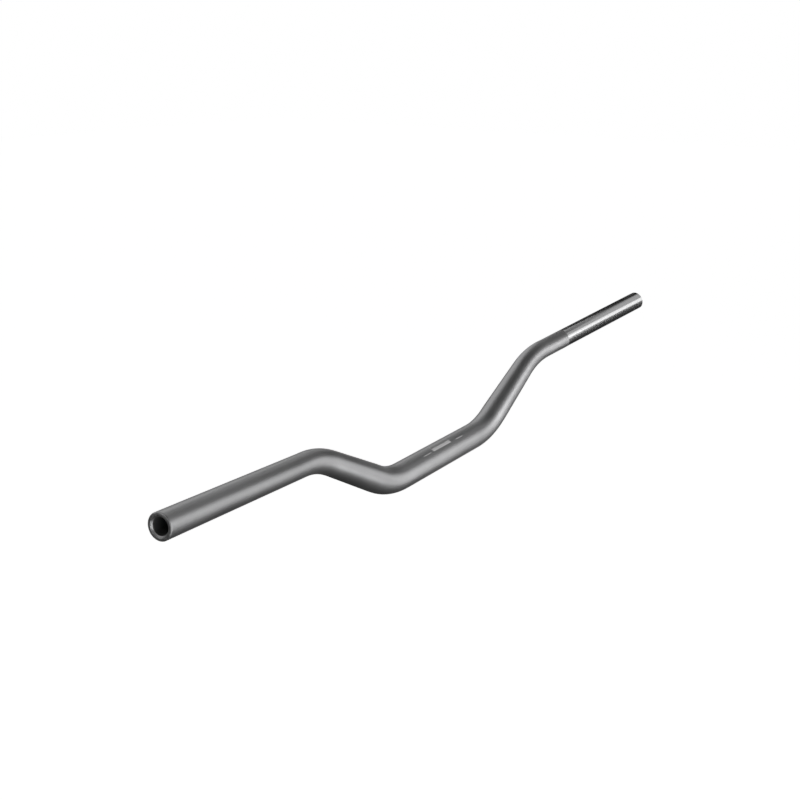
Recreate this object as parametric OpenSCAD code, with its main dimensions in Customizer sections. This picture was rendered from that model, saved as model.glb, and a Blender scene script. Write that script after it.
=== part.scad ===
// Tapered handlebar: one aluminium tube, drawn down toward both ends and bent four times.
// The origin is the middle of the clamp section. +X is the rider's right, +Y is forward, +Z is up.

/* [Overall shape] */
// Width over the two end faces' centres
overall_w = 800; // [740:5:860]
// Height of the end faces' centres above the clamp section's centreline
rise = 95.5; // [85:0.5:115]
// How far the end faces' centres are swept back toward the rider
pull_back = 39; // [25:1:55]

/* [Bends] */
// Distance between the centreline corners of the two lower bends
lower_corner_w = 177; // [160:1:190]
// Distance between the centreline corners of the two upper bends
upper_corner_w = 384; // [370:1:400]
// Height of the upper bends' corners above the clamp section's centreline
upper_corner_h = 64; // [55:1:75]
// Centreline radius of the lower bends
lower_bend_r = 80; // [60:1:100]
// Centreline radius of the upper bends
upper_bend_r = 100; // [80:1:120]

/* [Tube] */
// Outer diameter of the clamp section
clamp_od = 28.6; // [25.4:0.1:31.8]
// Wall thickness of the clamp section
clamp_wall = 4; // [3:0.1:5]
// Outer diameter of the grip sections
grip_od = 22.2; // [20:0.1:25.4]
// Wall thickness of the grip sections, a little more because drawing a tube down thickens it
grip_wall = 4.1; // [3:0.1:5]
// Straight run that stays at full diameter between a lower bend and its taper
taper_lead = 6.5; // [2:0.5:15]
// Run past the upper bend that still tapers, before the grip section proper
taper_tail = 3; // [1:0.5:10]

/* [End faces] */
// Bevel round the mouth of the bore
mouth_bevel = 1.5; // [0.5:0.1:2]
// Bevel round the outer edge
edge_bevel = 0.8; // [0.3:0.1:1]

/* [Hidden] */

$fn = 96;
tube_grey = [0.42, 0.42, 0.43];

// Sides of the lofted rings, and bands of rings along an upper bend
loft_sides = 36;
loft_bands = 8;
// A bend's form reaches this far into each neighbour, and stays this hair inside its surface
bite = 1;
hair = 0.02;
// The bore's cutting form runs this far out past the end faces
cut_past = 1;

// Corners of the right-hand half of the centreline
lower_corner = [lower_corner_w / 2, 0, 0];
upper_corner = [upper_corner_w / 2, 0, upper_corner_h];
end_centre = [overall_w / 2, -pull_back, rise];

// Directions of the three straight runs, from the middle outward
clamp_dir = [1, 0, 0];
riser_dir = unit(upper_corner - lower_corner);
grip_dir = unit(end_centre - upper_corner);

// Angle of each bend, and the length from its corner to where its arc begins
lower_angle = acos(clamp_dir * riser_dir);
upper_angle = acos(riser_dir * grip_dir);
lower_setback = lower_bend_r * tan(lower_angle / 2);
upper_setback = upper_bend_r * tan(upper_angle / 2);
lower_bite_angle = bite / lower_bend_r * 180 / PI;

// Places along the half where one form hands over to the next
clamp_half = lower_corner[0] - lower_setback;
riser_start = lower_corner + lower_setback * riser_dir;
taper_start = riser_start + taper_lead * riser_dir;
arc_start = upper_corner - upper_setback * riser_dir;
arc_end = upper_corner + upper_setback * grip_dir;
cone_end = arc_start - bite * riser_dir;
grip_start = arc_end + (taper_tail + bite) * grip_dir;

// Lengths along the centreline
arc_len = upper_bend_r * upper_angle * PI / 180;
cone_len = norm(cone_end - taper_start);
arc_from_taper = cone_len + bite;
taper_len = arc_from_taper + arc_len + taper_tail;
grip_len = norm(end_centre - grip_start);

// Directions across an upper bend: toward the arc's centre, and square to the arc's plane
arc_inward = unit(grip_dir - (grip_dir * riser_dir) * riser_dir);
arc_normal = cross(riser_dir, arc_inward);

function unit(v) = v / norm(v);

// Radius at a distance from the start of the taper, falling evenly along the centreline to its end
function taper_r(clamp_r, grip_r, distance) =
    clamp_r + (grip_r - clamp_r) * min(distance / taper_len, 1);

// Angle turned at a distance from the start of an upper bend, none before it and all after it
function turned(distance) =
    max(0, min(upper_angle, distance / upper_bend_r * 180 / PI));

// Point of the centreline at a distance from the start of an upper bend
function arc_point(distance) =
    arc_start
    + min(distance, 0) * riser_dir
    + upper_bend_r * sin(turned(distance)) * riser_dir
    + upper_bend_r * (1 - cos(turned(distance))) * arc_inward
    + max(distance - arc_len, 0) * grip_dir;

// Direction away from the bend's centre at a distance from the start of an upper bend
function arc_outward(distance) =
    sin(turned(distance)) * riser_dir - cos(turned(distance)) * arc_inward;

// One ring of points, square to the centreline
function ring(distance, r) = [
    for (i = [0 : loft_sides - 1])
        let (a = 360 * i / loft_sides)
        arc_point(distance) + r * (cos(a) * arc_outward(distance) + sin(a) * arc_normal)
];

// Stations of the rings: one inside the cone, the bend's own, the taper's end, one inside the grip.
// No ring lies in the plane where the cone ends or the grip begins, so each plane cuts clean facets.
loft_stations = concat(
    [-2 * bite],
    [for (i = [0 : loft_bands]) arc_len * i / loft_bands],
    [arc_len + taper_tail, arc_len + taper_tail + 2 * bite]
);

// Turns the Z axis onto a direction, at a place
module along(place, direction) {
    translate(place)
        rotate([0, acos(direction[2]), atan2(direction[1], direction[0])])
            children();
}

// A lower bend: part of a ring, from straight down under its centre round toward the riser
module lower_bend(r) {
    translate([clamp_half, 0, lower_bend_r])
        rotate([90, 0, 0])
            rotate([0, 0, -90 - lower_bite_angle])
                rotate_extrude(angle = lower_angle + 2 * lower_bite_angle)
                    translate([lower_bend_r, 0])
                        circle(r = r - hair);
}

// The riser: a short full-diameter run, then the straight part of the taper
module riser(clamp_r, grip_r) {
    along(riser_start, riser_dir) {
        cylinder(h = taper_lead, r = clamp_r);
        translate([0, 0, taper_lead])
            cylinder(h = cone_len, r1 = clamp_r, r2 = taper_r(clamp_r, grip_r, cone_len));
    }
}

// An upper bend: rings lofted round the arc, each smaller than the last
module upper_bend(clamp_r, grip_r) {
    last = len(loft_stations) - 1;
    points = [
        for (s = loft_stations)
            each ring(s, taper_r(clamp_r, grip_r, arc_from_taper + s) - hair)
    ];
    walls = [
        for (band = [0 : last - 1], i = [0 : loft_sides - 1])
            let (
                here = band * loft_sides,
                next = here + loft_sides,
                j = (i + 1) % loft_sides
            )
            each [
                [here + i, next + j, next + i],
                [here + i, here + j, next + j]
            ]
    ];
    near_cap = [for (i = [0 : loft_sides - 1]) loft_sides - 1 - i];
    far_cap = [for (i = [0 : loft_sides - 1]) last * loft_sides + i];
    polyhedron(points = points, faces = concat(walls, [near_cap, far_cap]));
}

// A grip section, whose end flares or narrows by the bevel and may run on past the end face
module grip(r, bevel, past) {
    straight = grip_len - abs(bevel);
    along(grip_start, grip_dir) {
        cylinder(h = straight, r = r);
        translate([0, 0, straight])
            cylinder(
                h = abs(bevel) + past,
                r1 = r,
                r2 = r + sign(bevel) * (abs(bevel) + past)
            );
    }
}

// The whole run of the bar, filled: its outside, or the form that cuts its bore
module run(clamp_r, grip_r, bevel, past) {
    rotate([0, 90, 0])
        cylinder(h = 2 * clamp_half, r = clamp_r, center = true);
    for (side = [0, 1])
        mirror([side, 0, 0]) {
            lower_bend(clamp_r);
            riser(clamp_r, grip_r);
            upper_bend(clamp_r, grip_r);
            grip(grip_r, bevel, past);
        }
}

module handlebar_tube() {
    color(tube_grey)
        difference() {
            run(clamp_od / 2, grip_od / 2, -edge_bevel, 0);
            run(clamp_od / 2 - clamp_wall, grip_od / 2 - grip_wall, mouth_bevel, cut_past);
        }
}

handlebar_tube();
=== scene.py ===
# %% [markdown]
# # A tapered handlebar
# The object is one aluminium tube. It is thick and straight in the middle, where two clamps hold
# it, then bends up through a riser on each side, gets thinner, and bends back into the two grips.
# Each grip ends in an open mouth. The imported model gives the frame that everything is built in,
# so it is loaded first, and its box is kept beside the finished model's box at the end.

import math

import bmesh
import bpy
from mathutils import Matrix, Vector


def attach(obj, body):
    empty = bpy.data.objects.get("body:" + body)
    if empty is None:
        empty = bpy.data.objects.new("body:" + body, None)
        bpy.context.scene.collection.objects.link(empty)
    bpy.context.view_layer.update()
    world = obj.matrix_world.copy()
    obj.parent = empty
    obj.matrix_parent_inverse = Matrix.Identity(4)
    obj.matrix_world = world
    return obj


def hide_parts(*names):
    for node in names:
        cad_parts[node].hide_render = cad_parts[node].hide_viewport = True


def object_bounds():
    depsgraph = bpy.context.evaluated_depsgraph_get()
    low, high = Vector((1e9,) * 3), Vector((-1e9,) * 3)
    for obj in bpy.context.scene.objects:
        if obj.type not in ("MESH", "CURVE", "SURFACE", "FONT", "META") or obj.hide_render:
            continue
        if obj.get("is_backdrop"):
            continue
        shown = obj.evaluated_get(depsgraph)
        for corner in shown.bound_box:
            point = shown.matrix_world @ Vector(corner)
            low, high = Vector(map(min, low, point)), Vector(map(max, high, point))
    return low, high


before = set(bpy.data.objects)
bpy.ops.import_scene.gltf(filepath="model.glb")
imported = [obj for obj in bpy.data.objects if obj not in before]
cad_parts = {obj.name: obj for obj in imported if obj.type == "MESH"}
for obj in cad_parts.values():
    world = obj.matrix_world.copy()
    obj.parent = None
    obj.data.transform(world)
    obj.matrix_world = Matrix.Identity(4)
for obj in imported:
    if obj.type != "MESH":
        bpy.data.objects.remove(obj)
cad_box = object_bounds()
print("packed box:", [[round(v, 4) for v in corner] for corner in cad_box])

# %% [markdown]
# ## The tube's sizes
# The same sizes shape the solid and this model, here in metres. The middle line of the tube is
# drawn as three straight runs with corners between them: along the clamp section, up the riser,
# and out along the grip. +X is the rider's right, +Y is forward and +Z is up.

# %% Sizes
mm = 0.001
overall_w = 800 * mm
rise = 95.5 * mm
pull_back = 39 * mm
lower_corner_w = 177 * mm
upper_corner_w = 384 * mm
upper_corner_h = 64 * mm
lower_corner = Vector((lower_corner_w / 2, 0, 0))
upper_corner = Vector((upper_corner_w / 2, 0, upper_corner_h))
end_centre = Vector((overall_w / 2, -pull_back, rise))

lower_bend_r = 80 * mm
upper_bend_r = 100 * mm
clamp_r = 14.3 * mm
clamp_wall = 4 * mm
grip_r = 11.1 * mm
grip_wall = 4.1 * mm
taper_lead = 6.5 * mm
taper_tail = 3 * mm
mouth_bevel = 1.5 * mm
edge_bevel = 0.8 * mm

clamp_dir = Vector((1, 0, 0))
riser_dir = (upper_corner - lower_corner).normalized()
grip_dir = (end_centre - upper_corner).normalized()
print("right end of the middle line:", [round(v / mm, 1) for v in end_centre], "mm")

# %% [markdown]
# ## The bends
# A bend replaces the corner between two straight runs by an arc. On the bench the tube is pulled
# round a former of that radius. Each bend is worked out once: where it starts and ends, the line
# that it turns round, and its angle. The modelling needs these for the spin tool, and the finish
# needs them again to know where a place on the bent tube was while the tube was still straight.

# %% Bends


class Bend:
    """A bend of the tube between two straight runs."""

    def __init__(self, corner, before, after, radius):
        self.before = before
        self.radius = radius
        self.angle = before.angle(after)
        self.length = radius * self.angle
        self.axis = before.cross(after).normalized()
        setback = radius * math.tan(self.angle / 2)
        self.start = corner - setback * before
        self.end = corner + setback * after
        self.centre = self.start + radius * self.axis.cross(before)

    def straightened(self, place):
        """Where a place lay before this bend was made."""
        arm = place - self.centre
        outward = (self.start - self.centre).normalized()
        turned = math.atan2(arm.dot(self.before), arm.dot(outward))
        turned = max(0, min(self.angle, turned))
        unturned = Matrix.Rotation(-turned, 3, self.axis) @ arm
        return self.centre + unturned + self.before * (self.radius * turned)


lower = Bend(lower_corner, clamp_dir, riser_dir, lower_bend_r)
upper = Bend(upper_corner, riser_dir, grip_dir, upper_bend_r)
for name, bend in (("lower", lower), ("upper", upper)):
    print(name, "bend:", round(math.degrees(bend.angle), 2), "degrees")

# %% [markdown]
# ## The taper
# The tube is drawn down before it is bent, so its radius depends only on the distance along the
# middle line. It is full at the clamp section, shrinks evenly up the riser and round the upper
# bend, and then stays at the size that grips and levers need. The bore follows, one wall
# thickness inside.

# %% Radii along the tube
riser_len = (upper.start - lower.end).length
taper_from = lower.start.x + lower.length + taper_lead
taper_to = lower.start.x + lower.length + riser_len + upper.length + taper_tail
half_len = taper_to + (end_centre - upper.end).length - taper_tail


def tapered(along, at_clamp, at_grip):
    share = (along - taper_from) / (taper_to - taper_from)
    return at_clamp + (at_grip - at_clamp) * max(0, min(1, share))


def outer_r(along):
    return tapered(along, clamp_r, grip_r)


def bore_r(along):
    return tapered(along, clamp_r - clamp_wall, grip_r - grip_wall)


print("length along the middle line:", round(2 * half_len / mm, 1), "mm")

# %% [markdown]
# ## Growing the tube
# A curve with a round profile would give a tube quickly, but not one whose bore, bevels and
# taper are all under control. So one half is grown as a maker would push a ring along: a circle
# in the middle plane is extruded along each straight run, spun round each bend, and resized at
# every step where the tube tapers. The ring turns in at the mouth and goes back along the bore,
# which makes the outside, the end face and the bore one closed skin. A small class keeps where
# the growing edge is.

# %% The growing edge
least_resize = 1e-6


class GrowingEdge:
    """The selected open edge of the tube, with its middle, radius and distance along the bar."""

    def __init__(self, radius):
        self.middle = Vector()
        self.radius = radius
        self.along = 0

    def resize(self, radius):
        factor = radius / self.radius
        if abs(factor - 1) > least_resize:
            bpy.ops.transform.resize(value=(factor,) * 3, center_override=self.middle)
        self.radius = radius

    def push(self, direction, length, radius):
        """Extrudes straight on, or back with a negative length, to a new radius."""
        move = direction * length
        bpy.ops.mesh.extrude_region_move(TRANSFORM_OT_translate={"value": move})
        self.middle += move
        self.along += length
        self.resize(radius)

    def spin(self, bend, steps, way, radius_at):
        """Spins round a bend, outward with way 1 or back with way -1."""
        step = way * bend.angle / steps
        turn = Matrix.Rotation(step, 3, bend.axis)
        for _ in range(steps):
            # The spin tool counts its angle the other way round the axis
            bpy.ops.mesh.spin(steps=1, angle=-step, center=bend.centre, axis=bend.axis)
            self.middle = bend.centre + turn @ (self.middle - bend.centre)
            self.along += step * bend.radius
            self.resize(radius_at(self.along))


# %% [markdown]
# The first ring stands in the middle plane. Everything else is deselected before it is added,
# because an edit-mode tool acts on whatever is selected.

# %% First ring
ring_sides = 128

bpy.ops.object.select_all(action="DESELECT")
bpy.ops.mesh.primitive_circle_add(
    vertices=ring_sides, radius=clamp_r, fill_type="NOTHING", rotation=(0, math.pi / 2, 0)
)
tube = bpy.context.active_object
tube.name = "tapered_tube"
tube.data.name = "tapered_tube"
bpy.ops.object.transform_apply(location=True, rotation=True, scale=True)
print("first ring has", len(tube.data.vertices), "points")

# %% [markdown]
# The outside goes first, from the middle to the end face. Then come the outer edge's bevel, the
# flat end face and the bevelled mouth, and the same path is followed back inside.

# %% Outside, end and bore of one half
lower_steps = 18
upper_steps = 16

bpy.ops.object.mode_set(mode="EDIT")
bpy.ops.mesh.select_all(action="SELECT")

edge = GrowingEdge(clamp_r)
edge.push(clamp_dir, lower.start.x, clamp_r)
edge.spin(lower, lower_steps, 1, outer_r)
edge.push(riser_dir, taper_lead, clamp_r)
edge.push(riser_dir, riser_len - taper_lead, outer_r(taper_from + riser_len - taper_lead))
edge.spin(upper, upper_steps, 1, outer_r)
edge.push(grip_dir, taper_tail, grip_r)
edge.push(grip_dir, half_len - edge_bevel - edge.along, grip_r)
print("outside ends at", [round(v / mm, 2) for v in edge.middle], "mm")

bore_mouth_r = grip_r - grip_wall
edge.push(grip_dir, edge_bevel, grip_r - edge_bevel)
edge.push(grip_dir, 0, bore_mouth_r + mouth_bevel)
edge.push(grip_dir, -mouth_bevel, bore_mouth_r)

edge.push(grip_dir, taper_to - edge.along, bore_mouth_r)
edge.push(grip_dir, -taper_tail, bore_r(taper_to - taper_tail))
edge.spin(upper, upper_steps, -1, bore_r)
edge.push(riser_dir, taper_lead - riser_len, clamp_r - clamp_wall)
edge.push(riser_dir, -taper_lead, clamp_r - clamp_wall)
edge.spin(lower, lower_steps, -1, bore_r)
edge.push(clamp_dir, -edge.along, clamp_r - clamp_wall)
bpy.ops.object.mode_set(mode="OBJECT")
print("bore comes back to", [round(v / mm, 3) for v in edge.middle], "mm")

# %% [markdown]
# ## Broken edges
# A cutter leaves the corners of the end face sharp, and blasting and anodising round them off by
# about a tenth of a millimetre. Those corners are the loops of edges near the end face. An edge
# is part of such a loop when both its points lie equally deep and equally far from the face's
# centre, so the loops are found by place and bevelled with a few segments.

# %% Break the edges of the end face
broken_edge = 0.16 * mm
near_end = 2 * mm
same_place = 0.01 * mm
bpy.ops.object.mode_set(mode="EDIT")
bpy.ops.mesh.select_all(action="DESELECT")
bpy.ops.mesh.select_mode(type="EDGE")
skin = bmesh.from_edit_mesh(tube.data)
for rim in skin.edges:
    arms = [corner.co - end_centre for corner in rim.verts]
    depths = [-arm.dot(grip_dir) for arm in arms]
    lengths = [arm.length for arm in arms]
    runs_round = max(abs(a - b) for a, b in (depths, lengths)) < same_place
    rim.select_set(max(depths) < near_end and runs_round)
print("edges to break:", sum(rim.select for rim in skin.edges))
bpy.ops.mesh.bevel(offset=broken_edge, segments=3, affect="EDGES", profile=0.5)
bpy.ops.object.mode_set(mode="OBJECT")

# %% [markdown]
# ## The other half
# Both halves of the bar have the same shape, so the Mirror modifier makes the left one and joins
# the two in the middle plane. A mirrored skin can end up inside out, so its normals are worked
# out again once the halves are merged. Weighted normals then keep the long runs perfectly even
# right up to the small bevels.

# %% Mirror and smooth
mirror = tube.modifiers.new("other_half", "MIRROR")
mirror.use_axis = (True, False, False)
mirror.merge_threshold = same_place
bpy.ops.object.modifier_apply(modifier=mirror.name)

bpy.ops.object.mode_set(mode="EDIT")
bpy.ops.mesh.select_all(action="SELECT")
bpy.ops.mesh.normals_make_consistent(inside=False)
bpy.ops.object.mode_set(mode="OBJECT")

bpy.ops.object.shade_smooth_by_angle(angle=math.radians(30))
weighted = tube.modifiers.new("even_normals", "WEIGHTED_NORMAL")
weighted.keep_sharp = True
weighted.weight = 80
bpy.ops.object.modifier_apply(modifier=weighted.name)

measured = bmesh.new()
measured.from_mesh(tube.data)
open_edges = sum(not rim.is_manifold for rim in measured.edges)
print("faces:", len(measured.faces), " open edges:", open_edges)
print("volume:", round(measured.calc_volume(signed=True) / mm**3), "mm3")
measured.free()

# %% [markdown]
# ## The straight tube's coordinates
# Drawing lines, polishing lines and the marks at the clamp all follow the tube, not the room. So
# every point also remembers where it was on the straight tube: how far along, how far forward
# and how far up. That is stored as an attribute, which unlike a flat map has no seam.

# %% Remember the straight tube
unbent = tube.data.attributes.new("unbent", "FLOAT_VECTOR", "POINT")
for index, corner in enumerate(tube.data.vertices):
    side = -1 if corner.co.x < 0 else 1
    place = Vector((abs(corner.co.x), corner.co.y, corner.co.z))
    place = lower.straightened(upper.straightened(place))
    unbent.data[index].vector = (side * place.x, place.y, place.z)
reach = max(value.vector.x for value in unbent.data)
print("straight tube reaches", round(reach / mm, 2), "of", round(half_len / mm, 2), "mm")

# %% [markdown]
# ## A board for shader nodes
# A finish is built from many small sums. Written as Python expressions they stay readable, so a
# wire wraps one socket, and adding or multiplying wires adds the Math nodes. Every other node
# comes from the board's one method, which takes the node's type, its settings and its inputs.

# %% Wires and boards


class Wire:
    """A socket of a node, which can take part in a sum."""

    def __init__(self, board, node, output=0):
        self.board = board
        self.node = node
        self.socket = node.outputs[output]

    def __getitem__(self, output):
        """Another output of the same node."""
        return Wire(self.board, self.node, output)

    def __add__(self, other):
        return self.board.math("ADD", self, other)

    def __radd__(self, other):
        return self.board.math("ADD", other, self)

    def __sub__(self, other):
        return self.board.math("SUBTRACT", self, other)

    def __rsub__(self, other):
        return self.board.math("SUBTRACT", other, self)

    def __mul__(self, other):
        return self.board.math("MULTIPLY", self, other)

    def __rmul__(self, other):
        return self.board.math("MULTIPLY", other, self)

    def __truediv__(self, other):
        return self.board.math("DIVIDE", self, other)

    def __rtruediv__(self, other):
        return self.board.math("DIVIDE", other, self)

    def __abs__(self):
        return self.board.math("ABSOLUTE", self)


class Board:
    """The nodes of one material or of the world."""

    def __init__(self, owner):
        owner.use_nodes = True
        self.tree = owner.node_tree
        self.tree.nodes.clear()

    def node(self, kind, settings=None, inputs=None):
        made = self.tree.nodes.new(kind)
        for name, value in (settings or {}).items():
            setattr(made, name, value)
        for name, value in (inputs or {}).items():
            if isinstance(value, Wire):
                self.tree.links.new(value.socket, made.inputs[name])
            else:
                made.inputs[name].default_value = value
        return Wire(self, made) if made.outputs else None

    def math(self, operation, *values):
        return self.node("ShaderNodeMath", {"operation": operation}, dict(enumerate(values)))

    def limited(self, value):
        """The value kept between 0 and 1."""
        settings = {"operation": "ADD", "use_clamp": True}
        return self.node("ShaderNodeMath", settings, {0: value, 1: 0})

    def above(self, value, border, softness):
        """1 where the value is above the border, 0 below it, even in between."""
        return self.limited((value - border) / softness + 0.5)

    def between(self, value, low, high, softness):
        return self.above(value, low, softness) * (1 - self.above(value, high, softness))

    def blend(self, mask, first, second):
        """The first colour where the mask is 0 and the second where it is 1."""
        mixed = self.node("ShaderNodeMix", {"data_type": "RGBA"}, {0: mask, 6: first, 7: second})
        return mixed[2]

    def noise(self, place, scale, detail):
        settings = {"noise_dimensions": "3D"}
        inputs = {"Vector": place, "Scale": scale, "Detail": detail}
        return self.node("ShaderNodeTexNoise", settings, inputs)


# %% [markdown]
# ## Where each finish lies
# The bar is blasted and anodised all over, apart from the outer length of the right-hand grip,
# which is polished bright, with a sharp border round the tube. Other masks find the flat end
# face, the whole cut end with its two bevels, and the bore behind each mouth, which is all of
# the bore that can be seen. The masks read the straight tube's coordinates, so a border runs
# square round the bar wherever it bends.

# %% Places on the tube
finish = bpy.data.materials.new("anodised_tube")
board = Board(finish)

on_tube = board.node("ShaderNodeAttribute", {"attribute_name": "unbent"})["Vector"]
parted = board.node("ShaderNodeSeparateXYZ", inputs={0: on_tube})
along, forward, up = parted["X"], parted["Y"], parted["Z"]
from_middle = abs(along)
from_axis = board.math("SQRT", forward * forward + up * up)

polished_len = 154 * mm
face_depth = 0.35 * mm
bore_skin = 0.3 * mm
sharp = 0.3 * mm
soft = 0.4 * mm
faded = 1 * mm

polished = board.above(along, half_len - polished_len, sharp)
end_face = board.above(from_middle, half_len - face_depth, sharp)
in_bore = board.above(-1 * from_axis, -(bore_mouth_r + bore_skin), soft)
in_bore = in_bore * board.above(from_middle, taper_to, faded)
cut_end = board.above(from_middle, half_len - edge_bevel, soft)
print("polished:", round(polished_len / mm), "mm of", round(half_len / mm), "mm on the right")

# %% [markdown]
# ## Position marks
# At the middle of the clamp section a small rectangle and two short lines show a rider how far
# the bar is turned in its clamps. They are marked into the anodised skin, so they are light and
# matt and have no depth. A thin mesh laid on the tube would show an edge that they lack, so masks
# draw them, each in two measures: along the tube, and round it from its top toward the rider.
# The rectangle is an outline with its lower half filled, and it sits a little to the left of the
# middle, as in the photograph.

# %% Marks on the clamp section
mark_line = 0.55 * mm
mark_soft = 0.12 * mm
mark_half_w = 16 * mm
mark_shift = 2.2 * mm
mark_top = math.radians(-2) * clamp_r
mark_bottom = math.radians(30.6) * clamp_r
dash_from = 23 * mm
dash_to = 36 * mm
dash_thick = 0.8 * mm
round_tube = board.math("ARCTAN2", -1 * forward, up) * clamp_r


def mark_box(half_w, top, bottom):
    wide = board.between(along, -half_w - mark_shift, half_w - mark_shift, mark_soft)
    return wide * board.between(round_tube, top, bottom, mark_soft)


whole_box = mark_box(mark_half_w, mark_top, mark_bottom)
hollow = mark_box(mark_half_w - mark_line, mark_top + mark_line, mark_bottom - mark_line)
mark_middle = (mark_top + mark_bottom) / 2
lower_half = mark_box(mark_half_w, mark_middle, mark_bottom)
dash = board.between(from_middle, dash_from, dash_to, mark_soft)
dash = dash * board.between(round_tube, mark_bottom - dash_thick, mark_bottom, mark_soft)
marks = board.limited(whole_box - hollow + lower_half + dash)
mark_size = (2 * mark_half_w, mark_bottom - mark_top)
print("rectangle:", [round(v / mm, 1) for v in mark_size], "mm along and round the tube")

# %% [markdown]
# ## Grain, lines and wear
# Blasting leaves a fine even grain. Under it the drawn tube still shows faint lines along its
# length, and the anodised colour drifts a little. The polished length has much finer lines that
# run round it, and the end face has the rings of a lathe tool. Handling rubs the corners of the
# end face lighter. The scale of a noise is its number of spots to the metre.

# %% Patterns
in_room = board.node("ShaderNodeTexCoord")["Object"]
grain = board.noise(in_room, scale=2400, detail=2)
drift = board.noise(in_room, scale=28, detail=3)


def stretched(lengthwise, across):
    """The straight tube's coordinates, squeezed so that a noise draws lines."""
    inputs = {0: along * lengthwise, 1: forward * across, 2: up * across}
    return board.node("ShaderNodeCombineXYZ", inputs=inputs)


drawn_lines = board.noise(stretched(lengthwise=12, across=900), scale=1, detail=2)
polish_lines = board.noise(stretched(lengthwise=2600, across=40), scale=1, detail=2)

ring_pitch = 0.22 * mm
lathe_rings = board.math("SINE", from_axis * (2 * math.pi / ring_pitch))

wear_depth = 1.2 * mm
wear_fade = 1.6 * mm
wear_on_face = 0.2
rubbing = board.noise(in_room, scale=260, detail=3) + end_face * wear_on_face
worn = board.above(rubbing, border=0.66, softness=0.2)
worn = worn * board.above(from_middle, half_len - wear_depth, wear_fade) * (1 - in_bore)
print("nodes for places and patterns:", len(board.tree.nodes))

# %% [markdown]
# ## The finish
# The colour is a bare metal's reflection, so Metallic is 1 and the base colour is the grey of
# the anodised film. It wavers between two greys with the drift and the grain. The cut end is
# painted darker than the run, as painted shade that dims the highlights on its bevels, and the
# bore darker still, as painted shade inside the tube. A little bare metal shows on worn corners.

# %% Colour
satin_deep = (0.295, 0.295, 0.299, 1)
satin_pale = (0.38, 0.38, 0.384, 1)
polish_grey = (0.61, 0.61, 0.615, 1)
marked_grey = (0.47, 0.47, 0.47, 1)
bare_grey = (0.62, 0.62, 0.62, 1)
# Painted shade: the cut end's grey is darkened so that its bevels show dimmer highlights.
cut_painted_shade_grey = (0.21, 0.21, 0.213, 1)
# Painted shade: the bore's grey is darkened for the shade inside the tube.
bore_painted_shade_grey = (0.16, 0.16, 0.16, 1)

half = 0.5
drift_tone = 0.9
grain_tone = 1.3
worn_tone = 0.25
tone = board.limited(half + (drift - half) * drift_tone + (grain - half) * grain_tone)
colour = board.blend(tone, satin_deep, satin_pale)
colour = board.blend(polished, colour, polish_grey)
# The cut end takes its painted shade here.
colour = board.blend(cut_end, colour, cut_painted_shade_grey)
# The bore takes its painted shade here.
colour = board.blend(in_bore, colour, bore_painted_shade_grey)
colour = board.blend(worn * worn_tone, colour, bare_grey)
colour = board.blend(marks, colour, marked_grey)
print("nodes with the colour:", len(board.tree.nodes))

# %% [markdown]
# Roughness tells satin from polish. Blasting leaves the run satin, and the drift, the drawing
# lines and the grain change it a little. Polishing closes the surface of the outer grip, all but
# its fine lines. The cut end, the bore and the marks are more matt, and worn corners less.

# %% Roughness
satin_base, satin_drift, satin_lines, satin_grain = 0.35, 0.06, 0.04, 0.04
polish_base, polish_waver = 0.16, 0.035
cut_rougher, bore_rougher, worn_smoother, marks_rougher = 0.1, 0.15, 0.03, 0.15
satin_rough = satin_base + drift * satin_drift + drawn_lines * satin_lines + grain * satin_grain
polish_rough = polish_base + polish_lines * polish_waver
roughness = satin_rough + (polish_rough - satin_rough) * polished
roughness = roughness + cut_end * cut_rougher + in_bore * bore_rougher
roughness = roughness - worn * worn_smoother + marks * marks_rougher
print("nodes with the roughness:", len(board.tree.nodes))

# %% [markdown]
# The grain, the lines and the rings are a few hundredths of a millimetre deep, too fine to
# model, so they go into one height, which a Bump node turns into a normal. The marks are an
# oxide with hardly any metal to see, so they take most of Metallic away.

# %% Relief and shader
bump_depth = 0.02 * mm
grain_height, lines_height, polish_height, rings_height = 0.6, 0.5, 0.03, 0.35
satin_relief = grain * grain_height + drawn_lines * lines_height
relief = satin_relief + (polish_lines * polish_height - satin_relief) * polished
relief = relief + (lathe_rings * rings_height - relief) * end_face
normal = board.node(
    "ShaderNodeBump", inputs={"Strength": 1, "Distance": bump_depth, "Height": relief}
)

marks_dull = 0.85
shader = board.node(
    "ShaderNodeBsdfPrincipled",
    inputs={
        "Base Color": colour,
        "Metallic": 1 - marks * marks_dull,
        "Roughness": roughness,
        "Normal": normal,
    },
)
board.node("ShaderNodeOutputMaterial", inputs={"Surface": shader})
tube.data.materials.append(finish)
print("nodes in the finish:", len(finish.node_tree.nodes))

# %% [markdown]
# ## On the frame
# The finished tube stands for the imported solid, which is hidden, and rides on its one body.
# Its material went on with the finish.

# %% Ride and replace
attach(tube, "root")
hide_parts("handlebar_tube")
print("on the frame:", tube.name)

# %% [markdown]
# ## Background
# The bar hangs before plain white. The world is white to the camera and in reflections, and
# dimmer as a light, so that it doesn't wash out the shading.

# %% World


def seen_directly(board):
    """1 for what the camera, a reflection or a clear material sees, 0 for light on a surface."""
    path = board.node("ShaderNodeLightPath")
    seen = path["Is Camera Ray"] + path["Is Glossy Ray"] + path["Is Transmission Ray"]
    return board.limited(seen)


world = bpy.data.worlds.new("white_room")
bpy.context.scene.world = world
sky = Board(world)
sky_as_light = 0.4
strength = sky_as_light + seen_directly(sky) * (1 - sky_as_light)
white = sky.node("ShaderNodeBackground", inputs={"Color": (1, 1, 1, 1), "Strength": strength})
sky.node("ShaderNodeOutputWorld", inputs={"Surface": white})
print("the world lights surfaces with", sky_as_light, "of its white")

# %% [markdown]
# A pale floor lies well below the bar, so that the bar's shadow on it is wide and faint. A
# little glow of its own brings the floor to the white of the world behind it. The lamps light it
# most near the middle, and only on the side that they face, so the glow is less there.

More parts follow.
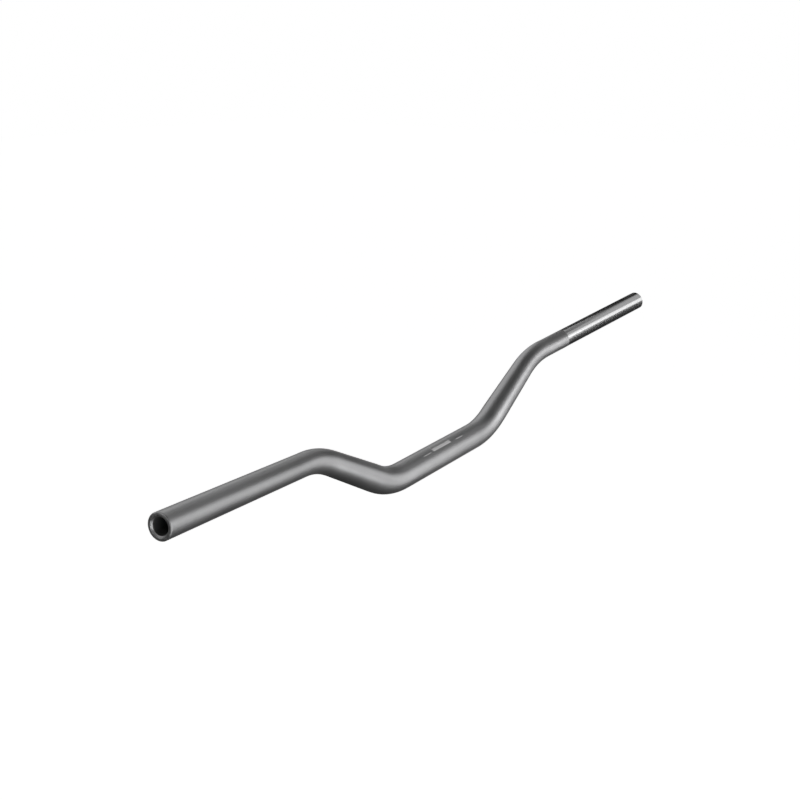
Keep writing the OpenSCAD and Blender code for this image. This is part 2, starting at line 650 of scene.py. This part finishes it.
# %% Floor
floor_z = -2.6
floor_size = 60
bpy.ops.object.select_all(action="DESELECT")
bpy.ops.mesh.primitive_plane_add(size=floor_size, location=(0, 0, floor_z))
floor = bpy.context.active_object
floor.name = "pale_floor"
bpy.ops.object.transform_apply(location=True, rotation=True, scale=True)

floor_finish = bpy.data.materials.new("pale_floor")
paint = Board(floor_finish)
spot = paint.node("ShaderNodeTexCoord")["Object"]
from_bar = paint.node("ShaderNodeVectorMath", {"operation": "LENGTH"}, {0: spot})["Value"]
lamp_side = paint.node("ShaderNodeSeparateXYZ", inputs={0: spot})["Y"]
floor_glow = 0.685
lamp_glow, lamp_reach = 0.26, 2.6
lamp_border, lamp_fade = -2.5, 0.6
lamplight = lamp_glow / (1 + from_bar * from_bar / lamp_reach**2)
lamplight = lamplight * paint.above(lamp_side, lamp_border, lamp_fade)
floor_shader = paint.node(
    "ShaderNodeBsdfPrincipled",
    inputs={
        "Base Color": (0.8, 0.8, 0.8, 1),
        "Roughness": 0.9,
        "Specular IOR Level": 0,
        "Emission Color": (1, 1, 1, 1),
        "Emission Strength": (floor_glow - lamplight) * seen_directly(paint),
    },
)
paint.node("ShaderNodeOutputMaterial", inputs={"Surface": floor_shader})
floor.data.materials.append(floor_finish)
floor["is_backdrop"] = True
print("floor lies", -floor_z, "m below the bar")

# %% [markdown]
# ## Light
# Metal shows its surroundings, so the surroundings are the light. Three softboxes stand on the
# rider's side. The wide one draws the bright band along the right riser and the polished grip,
# the narrow leaning one draws it along the left half and the clamp section, and a weak one close
# below the clamp section fills the band's lower part there. Everything else that the metal could
# see is a dark tent, which gives the band its edges. A compass direction and a height in degrees
# say where each stands, seen from the bar: 0 is forward and 90 is the bar's right.

# %% Where things stand
bar_middle = Vector((0, -0.01, 0.045))
far_off = 3.0


def stand(azimuth, elevation, distance=far_off, lean=0):
    """A place seen from the bar, and the turn that makes its -Z look back at the bar."""
    a, e = math.radians(azimuth), math.radians(elevation)
    toward = Vector((math.sin(a) * math.cos(e), math.cos(a) * math.cos(e), math.sin(e)))
    turn = toward.to_track_quat("Z", "Y").to_matrix()
    turn = turn @ Matrix.Rotation(math.radians(lean), 3, "Z")
    return bar_middle + toward * distance, turn.to_euler()


def across(degrees, distance=far_off):
    """The size of something that looks that many degrees wide from the bar."""
    return 2 * distance * math.tan(math.radians(degrees) / 2)


# %% [markdown]
# The softboxes are lamps. Their brightness is named as the radiance that a mirror would show,
# where 1 is white, and the power follows from it and the size. A camera that looks toward one
# doesn't see it, so the background stays plain from every side.

# %% Softboxes


def add_softbox(name, azimuth, elevation, wide, high, radiance, distance=far_off, lean=0):
    data = bpy.data.lights.new(name, "AREA")
    data.shape = "RECTANGLE"
    data.size = across(wide, distance)
    data.size_y = across(high, distance)
    data.energy = radiance * math.pi * data.size * data.size_y
    lamp = bpy.data.objects.new(name, data)
    lamp.location, lamp.rotation_euler = stand(azimuth, elevation, distance, lean)
    lamp.visible_camera = False
    bpy.context.scene.collection.objects.link(lamp)
    print(name, "power", round(data.energy, 2), "W")


add_softbox("wide_softbox", azimuth=184, elevation=-5, wide=80, high=64, radiance=3.0)
add_softbox(
    "leaning_softbox", azimuth=122, elevation=6, wide=23, high=61, radiance=1.3, lean=42.7
)
add_softbox(
    "near_softbox", azimuth=152, elevation=-20, wide=40, high=36, radiance=0.8, distance=0.36
)

# %% [markdown]
# Cards and the tent only show in reflections: they cast no shadow and light nothing, so they
# shape what the metal shows and leave the rest of the picture alone. The grey cards stand to the
# bar's right and give the upper side of the tube its paler bands: the upper card above the
# bright band of the clamp section, the rim card along the upper edge of the clamp section and
# the left grip, the side card on the left bends, and the high card on the right grip. The two
# dark cards stand near the right end, so only that grip sees them before the pale ones, and its
# upper edge stays dark.

# %% Cards


def show_in_reflections_only(thing, level):
    cloth = bpy.data.materials.new(thing.name)
    backing = Board(cloth)
    grey = (level, level, level, 1)
    glow = backing.node("ShaderNodeEmission", inputs={"Color": grey, "Strength": 1})
    backing.node("ShaderNodeOutputMaterial", inputs={"Surface": glow})
    cloth.cycles.emission_sampling = "NONE"
    thing.data.materials.append(cloth)
    thing.visible_camera = False
    thing.visible_diffuse = False
    thing.visible_shadow = False
    thing.visible_transmission = False
    thing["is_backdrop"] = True


def add_card(name, azimuth, elevation, wide, high, level, distance=far_off):
    place, turn = stand(azimuth, elevation, distance)
    bpy.ops.object.select_all(action="DESELECT")
    bpy.ops.mesh.primitive_plane_add(size=1, location=place, rotation=turn)
    card = bpy.context.active_object
    card.name = name
    card.scale = (across(wide, distance), across(high, distance), 1)
    print(name, "is", [round(v, 2) for v in card.scale[:2]], "m")
    bpy.ops.object.transform_apply(location=True, rotation=True, scale=True)
    show_in_reflections_only(card, level)


add_card("upper_card", azimuth=112, elevation=40, wide=39.4, high=15.6, level=0.57)
add_card("side_card", azimuth=68, elevation=-9, wide=24.6, high=61, level=0.57)
add_card("high_card", azimuth=73.6, elevation=53, wide=36, high=25, level=0.23)
add_card("rim_card", azimuth=70, elevation=36, wide=16, high=20, level=0.78)

dark = 0.03
add_card("near_dark_card", azimuth=68, elevation=8, wide=15, high=22, level=dark, distance=0.85)
add_card(
    "raised_dark_card", azimuth=76.5, elevation=24, wide=18, high=18, level=dark, distance=0.825
)

# %% [markdown]
# The tent is a dark box round the bar, the lamps and the cards, down to just above the floor.

# %% Tent
tent_wide = 9.6
tent_low, tent_high = floor_z + 0.1, 4.2
bpy.ops.object.select_all(action="DESELECT")
bpy.ops.mesh.primitive_cube_add(size=1, location=(0, 0, (tent_low + tent_high) / 2))
tent = bpy.context.active_object
tent.name = "dark_tent"
tent.scale = (tent_wide, tent_wide, tent_high - tent_low)
print("tent is", [round(v, 2) for v in tent.scale], "m")
bpy.ops.object.transform_apply(location=True, rotation=True, scale=True)

# %% [markdown]
# The tent is open to the white room forward and to the left, above the horizon. The tube shows
# that opening as a pale line along its upper edge. The opening is cut by selecting the faces
# that lie in its direction, seen from the bar.

# %% Opening of the tent
tent_cuts = 48
opening_from, opening_to = -107, 56
opening_low, opening_high = 9, 65

bpy.ops.object.mode_set(mode="EDIT")
bpy.ops.mesh.select_all(action="SELECT")
bpy.ops.mesh.subdivide(number_cuts=tent_cuts)
bpy.ops.mesh.select_all(action="DESELECT")
bpy.ops.mesh.select_mode(type="FACE")
panels = bmesh.from_edit_mesh(tent.data)
for panel in panels.faces:
    toward = (panel.calc_center_median() - bar_middle).normalized()
    azimuth = math.degrees(math.atan2(toward.x, toward.y))
    elevation = math.degrees(math.asin(toward.z))
    across_opening = opening_from < azimuth < opening_to
    panel.select_set(across_opening and opening_low < elevation < opening_high)
print("panels in the opening:", sum(panel.select for panel in panels.faces))
bpy.ops.mesh.delete(type="FACE")
bpy.ops.object.mode_set(mode="OBJECT")
show_in_reflections_only(tent, dark)

# %% [markdown]
# ## Camera
# The camera stands beyond the left grip's end, on the rider's side and a little above the bar,
# at the place that makes the bar's outline fall where the photograph has it, and looks along
# the bar toward the right grip.

# %% Camera
looks_down = 20.636
looks_right = 52.515

camera_data = bpy.data.cameras.new("camera")
camera_data.sensor_width = 36
camera_data.lens = 42.57
camera = bpy.data.objects.new("camera", camera_data)
camera.location = (-0.769664, -0.538121, 0.416806)
camera.rotation_euler = (math.radians(90 - looks_down), 0, math.radians(-looks_right))
bpy.context.scene.collection.objects.link(camera)
bpy.context.scene.camera = camera
bpy.context.scene.view_settings.view_transform = "Standard"
print("camera stands", round((camera.location - bar_middle).length, 2), "m from the bar's middle")

# %% The sizes of both boxes
boxes = {
    "cad": [list(corner) for corner in cad_box],
    "visual": [list(corner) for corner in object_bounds()],
}
print("visual box:", [[round(v, 4) for v in corner] for corner in boxes["visual"]])
